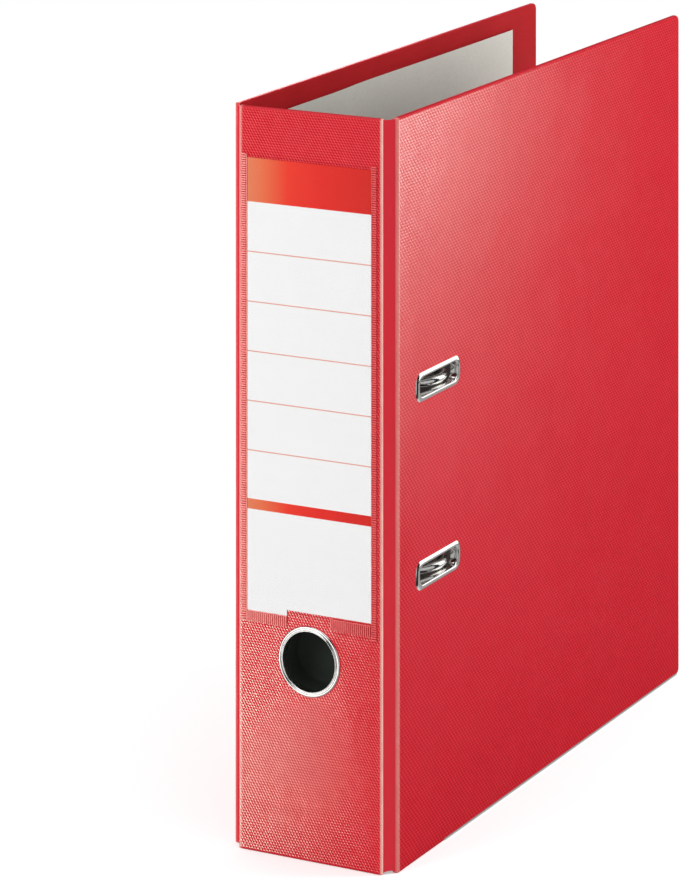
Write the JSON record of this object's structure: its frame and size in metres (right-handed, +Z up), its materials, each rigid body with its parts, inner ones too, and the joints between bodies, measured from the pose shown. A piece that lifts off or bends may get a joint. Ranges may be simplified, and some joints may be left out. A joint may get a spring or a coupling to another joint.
{
  "type": "lever arch file",
  "caption": "A4 lever arch file: hinged red covers and spine, label pocket, thumb ring, slotted front cover and an inner lever mechanism with posts and arches.",
  "frame": {"origin": "centre of the bounding box in X and Y, on the plane the closed file stands on", "axes": "+Z up along the spine, +X from the back cover to the front cover, +Y from the spine to the fore-edge"},
  "size_m": [0.0812, 0.288, 0.318],
  "materials": {
    "foil_outer": "embossed satin polypropylene foil, red",
    "foil_spine": "embossed satin polypropylene foil, red",
    "foil_inner": "smooth polypropylene foil, dark red",
    "gutter_foil": "smooth welded polypropylene strip, red",
    "greyboard": "grey card core",
    "rail_metal": "satin nickel-plated steel strip",
    "nickel": "polished nickel plating",
    "nickel_back": "nickel plating",
    "cup_black": "moulded black plastic",
    "clear_film": "clear welded film",
    "label_card": "smooth white card with printed bands",
    "plate_steel": "nickel-plated pressed steel",
    "rivet_nickel": "nickel-plated tubular rivet",
    "post_steel": "nickel-plated tube",
    "wire_steel": "nickel-plated spring wire",
    "lever_steel": "nickel-plated pressed steel",
    "pin_steel": "turned steel pin",
    "bar_steel": "pressed steel",
    "sheet_paper": "uncoated light grey paper"
  },
  "bodies": {
    "back_cover": {"back_board": "greyboard", "back_outer_foil": "foil_outer", "back_inner_foil": "foil_inner", "back_edge_rail": "rail_metal", "back_gutter": "gutter_foil", "base_plate": "plate_steel", "base_rivets": "rivet_nickel", "filing_posts": "post_steel", "lever_pin": "pin_steel", "info_sheet": "sheet_paper"},
    "spine": {"spine_board": "greyboard", "spine_outer_foil": "foil_spine", "spine_inner_foil": "foil_inner", "thumb_ring": "nickel", "thumb_ring_back": "nickel_back", "thumb_cup": "cup_black", "label_pocket": "clear_film"},
    "front_cover": {"front_board": "greyboard", "front_outer_foil": "foil_outer", "front_inner_foil": "foil_inner", "front_edge_rail": "rail_metal", "front_gutter": "gutter_foil", "slot_eyelets": "nickel", "slot_eyelet_backs": "nickel_back"},
    "label": {"spine_label": "label_card"},
    "arches": {"arch_wire": "wire_steel"},
    "lever": {"lever": "lever_steel", "roller_pin": "pin_steel"},
    "roller": {"lever_roller": "pin_steel"},
    "compressor": {"compressor_bar": "bar_steel"}
  },
  "joints": [
    {"name": "spine_fold", "type": "hinge", "parent": "back_cover", "child": "spine", "pos_m": [-0.0375, -0.1407, 0.159], "axis": [0, 0, -1], "range_deg": [0, 90], "deforming": ["back_gutter"]},
    {"name": "front_cover_fold", "type": "hinge", "parent": "spine", "child": "front_cover", "pos_m": [0.0375, -0.1407, 0.159], "axis": [0, 0, -1], "range_deg": [0, 180], "deforming": ["front_gutter"]},
    {"name": "label_slide", "type": "slide", "parent": "spine", "child": "label", "axis": [0, 0, 1], "range_m": [0, 0.195]},
    {"name": "lever_lift", "type": "hinge", "parent": "back_cover", "child": "lever", "pos_m": [-0.028, -0.0932, 0.1582], "axis": [0, 0, 1], "range_deg": [0, 60]},
    {"name": "arches_open", "type": "hinge", "parent": "back_cover", "child": "arches", "pos_m": [-0.0334, -0.1092, 0.1582], "axis": [0, 0, -1], "range_deg": [0, 13]},
    {"name": "roller_spin", "type": "hinge", "parent": "lever", "child": "roller", "pos_m": [-0.02737, -0.1017, 0.1582], "axis": [0, 0, 1], "continuous": true},
    {"name": "compressor_slide", "type": "slide", "parent": "back_cover", "child": "compressor", "axis": [1, 0, 0], "range_m": [0, 0.036]}
  ],
  "couplings": [
    {"joint": "arches_open", "follows": "lever_lift", "ratio": 0.21667}
  ]
}
